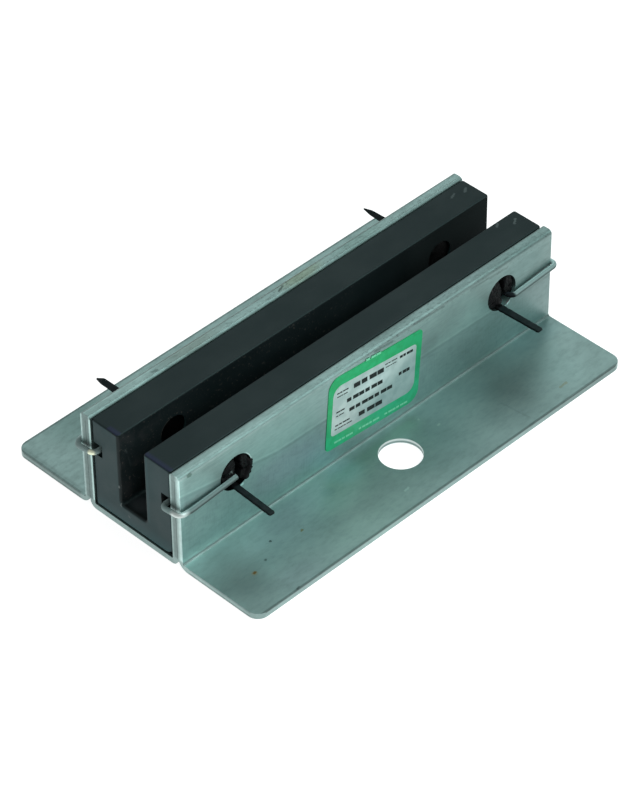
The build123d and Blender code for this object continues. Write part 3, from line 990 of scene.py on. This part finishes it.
# The far plugs' pull strips, which are broader than the near ones and end in a point: where the point
# ends and begins, how much the strip widens, and how far its point droops and stretches, in mm
POINTED_STRIPS = {
    "front_far": {"tip_y": 37.1, "taper_y": 35.0, "widen": 1.2, "drop": 0.5, "stretch": 0.7},
    "rear_far": {"tip_y": 35.9, "taper_y": 33.8, "widen": 1.38, "drop": 0.15, "stretch": 1.2},
}
STRIP_OUT_Y = 19.0
STRIP_SLICE = 0.5
WIDENING_RUN = 6.0
POINT_NARROWING = 0.68
SHARP_EDGE = math.radians(35)


def pointed_plug(name, node_name, tip_y, taper_y, widen, drop, stretch):
    """A copy of a far plug whose strip widens outside the wall and narrows to a drooping point."""
    work = bmesh.new()
    work.from_mesh(nodes[node_name].data)
    work.transform(nodes[node_name].matrix_world)
    bmesh.ops.remove_doubles(work, verts=work.verts, dist=0.001 * MM)
    for cut in range(int((tip_y - STRIP_OUT_Y) / STRIP_SLICE)):
        place = (0.0, (STRIP_OUT_Y + cut * STRIP_SLICE) * MM, 0.0)
        geometry = [*work.verts, *work.edges, *work.faces]
        bmesh.ops.bisect_plane(work, geom=geometry, plane_co=place, plane_no=(0.0, 1.0, 0.0))
    slices = {}
    for vert in work.verts:
        if vert.co.y > STRIP_OUT_Y * MM:
            slices.setdefault(round((vert.co.y / MM - STRIP_OUT_Y) / STRIP_SLICE), []).append(vert)
    for verts in slices.values():
        center_x = (min(vert.co.x for vert in verts) + max(vert.co.x for vert in verts)) / 2
        center_z = (min(vert.co.z for vert in verts) + max(vert.co.z for vert in verts)) / 2
        for vert in verts:
            y = vert.co.y / MM
            narrow = smooth(taper_y, tip_y, y)
            factor = 1.0 + (widen - 1.0) * smooth(STRIP_OUT_Y, STRIP_OUT_Y + WIDENING_RUN, y)
            factor *= 1.0 - POINT_NARROWING * narrow
            vert.co.x = center_x + (vert.co.x - center_x) * factor
            vert.co.z = center_z + (vert.co.z - center_z) * factor - drop * narrow * MM
            vert.co.y += stretch * narrow * MM
    for face in work.faces:
        face.smooth = True
    for edge in work.edges:
        edge.smooth = edge.calc_face_angle(0.0) < SHARP_EDGE
    mesh = finished(work, name)
    if mesh.has_custom_normals:
        mesh.attributes.remove(mesh.attributes["custom_normal"])
    return mesh


def rounded(corners, radii, steps=8):
    """The outline of a polygon, each of whose corners is rounded by its own radius."""
    points = []
    count = len(corners)
    for i in range(count):
        here = Vector(corners[i])
        before = (Vector(corners[i - 1]) - here).normalized()
        after = (Vector(corners[(i + 1) % count]) - here).normalized()
        half = before.angle(after) / 2
        inset = radii[i] / math.tan(half)
        center = here + (before + after).normalized() * radii[i] / math.sin(half)
        start = here + before * inset - center
        stop = here + after * inset - center
        sweep = start.angle_signed(stop)
        for step in range(steps + 1):
            turn = Matrix.Rotation(-sweep * step / steps, 2)
            points.append(tuple(center + turn @ start))
    return points


# The label's silver field: its corners' x and z, and their radii
PANEL_CORNERS = ((-14.6, 27.4), (16.6, 24.1), (15.6, 8.5), (-15.9, 11.3))
PANEL_RADII = (3.0, 1.2, 3.0, 1.2)
PRINT_STEP = 0.03

# Generic bars in the label's rows: left end, height of the middle, length, thickness, blocks
ROW_SLOPE = -0.108
DARK_ROWS = (
    (-7.2, 23.9, 11.8, 2.5, 4),
    (10.2, 23.2, 5.2, 1.4, 4),
    (-9.8, 20.4, 13.8, 2.0, 6),
    (9.8, 17.5, 4.4, 1.7, 3),
    (-8.9, 16.7, 16.6, 1.9, 7),
    (-5.4, 12.9, 9.4, 2.3, 3),
)
SMALL_ROWS = (
    (-13.4, 24.9, 4.4, 0.7, 4),
    (-13.4, 23.7, 4.0, 0.5, 5),
    (4.6, 24.0, 4.8, 0.5, 4),
    (4.8, 22.9, 4.2, 0.4, 5),
    (-13.8, 18.6, 3.4, 0.7, 2),
    (-13.8, 17.3, 3.0, 0.5, 3),
    (-14.2, 14.2, 5.6, 0.7, 4),
    (-14.4, 13.0, 6.6, 0.5, 6),
)
PALE_ROWS = (
    (-2.6, 29.9, 6.0, 1.2, 3),
    (-14.6, 8.6, 7.2, 1.0, 5),
    (-5.4, 7.7, 8.0, 1.0, 6),
    (4.4, 6.7, 9.0, 1.0, 6),
)

# A block's share of its row's pitch and thickness
BLOCK_LENGTHS = (0.72, 0.82, 0.92)
BLOCK_THICKNESS = 0.62


def row_blocks(rows):
    """The outlines of the short blocks in slanting rows."""
    outlines = []
    for left, height, length, thick, blocks in rows:
        pitch = length / blocks
        half = thick * BLOCK_THICKNESS / 2
        for block in range(blocks):
            first = left + pitch * block
            last = first + pitch * BLOCK_LENGTHS[(block * 5 + blocks) % 3]
            corners = ((first, -half), (last, -half), (last, half), (first, half))
            outlines.append([(x, height + (x - left) * ROW_SLOPE + step) for x, step in corners])
    return outlines


def print_layer(name, outlines, y_back, material):
    """Thin flat print in front of a depth on the near wall, from outlines of x and z in mm, as one piece."""
    work = bmesh.new()
    for outline in outlines:
        back, front = (
            [work.verts.new((x * MM, y * MM, z * MM)) for x, z in outline]
            for y in (y_back, y_back - PRINT_STEP)
        )
        skin(work, [back, front])
        work.faces.new(front)
        work.faces.new(back[::-1])
    bmesh.ops.recalc_face_normals(work, faces=work.faces)
    return new_piece(name, finished(work, name), material)


# Plain floor's half width in metres, the softboxes' color and the surround's strength
FLOOR_HALF = 1.6
SOFTBOX_COLOR = (0.80, 1.0, 0.99)
SURROUND_STRENGTH = 0.4


def add_floor():
    """The plain floor that the shoe lies on."""
    corners = [(x * FLOOR_HALF, y * FLOOR_HALF, 0) for x, y in ((-1, -1), (1, -1), (1, 1), (-1, 1))]
    mesh = bpy.data.meshes.new("floor")
    mesh.from_pydata(corners, [], [(0, 1, 2, 3)])
    mesh.materials.append(floor_white())
    floor = bpy.data.objects.new("floor", mesh)
    scene.collection.objects.link(floor)


def add_softbox(name, place, target, size, power):
    """A large square light that looks at a point."""
    data = bpy.data.lights.new(name, "AREA")
    data.shape = "SQUARE"
    data.size = size
    data.energy = power
    data.color = SOFTBOX_COLOR
    light = bpy.data.objects.new(name, data)
    light.location = place
    light.rotation_euler = (Vector(place) - Vector(target)).to_track_quat("Z", "Y").to_euler()
    scene.collection.objects.link(light)


def add_world():
    """An even white surround."""
    world = bpy.data.worlds.new("studio")
    world.use_nodes = True
    background = world.node_tree.nodes["Background"]
    background.inputs["Color"].default_value = (1.0, 1.0, 1.0, 1.0)
    background.inputs["Strength"].default_value = SURROUND_STRENGTH
    scene.world = world


# CAD nodes in their finishes
rubber_material = rubber()
wire_material = spring_wire()
dress("housing", steel())
dress("liner", polyurethane())
dress("label", label_green())
for place in ("front_near", "front_far", "rear_near", "rear_far"):
    dress(f"{place}_clip", wire_material)
    dress(f"{place}_plug", rubber_material)

# Finer plugs in place of the plain ones
for place, head, strip in (("front_near", FRONT_HEAD, FRONT_STRIP), ("rear_near", REAR_HEAD, REAR_STRIP)):
    torn = torn_plug(f"{place}_torn_plug", head, strip)
    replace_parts(new_piece(torn.name, torn, rubber_material), f"{place}_plug")
for place, strip in POINTED_STRIPS.items():
    pointed = pointed_plug(f"{place}_pointed_plug", f"{place}_plug", **strip)
    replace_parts(new_piece(pointed.name, pointed, rubber_material), f"{place}_plug")

# Print on the label
print_layer("label_panel", [rounded(PANEL_CORNERS, PANEL_RADII)], label_y, label_silver())
print_layer("label_rows", row_blocks(DARK_ROWS + SMALL_ROWS), label_y - PRINT_STEP, label_ink())
print_layer("label_marks", row_blocks(PALE_ROWS), label_y, label_pale())

add_floor()
add_softbox("near_softbox", (0.15, -0.3, 0.4), (0, 0, 0), 0.4, 1.7)
add_softbox("back_softbox", (0.6, 0.6, 0.75), (0, 0, 0), 0.6, 1.2)
add_world()
scene.view_settings.view_transform = "Standard"
add_camera()
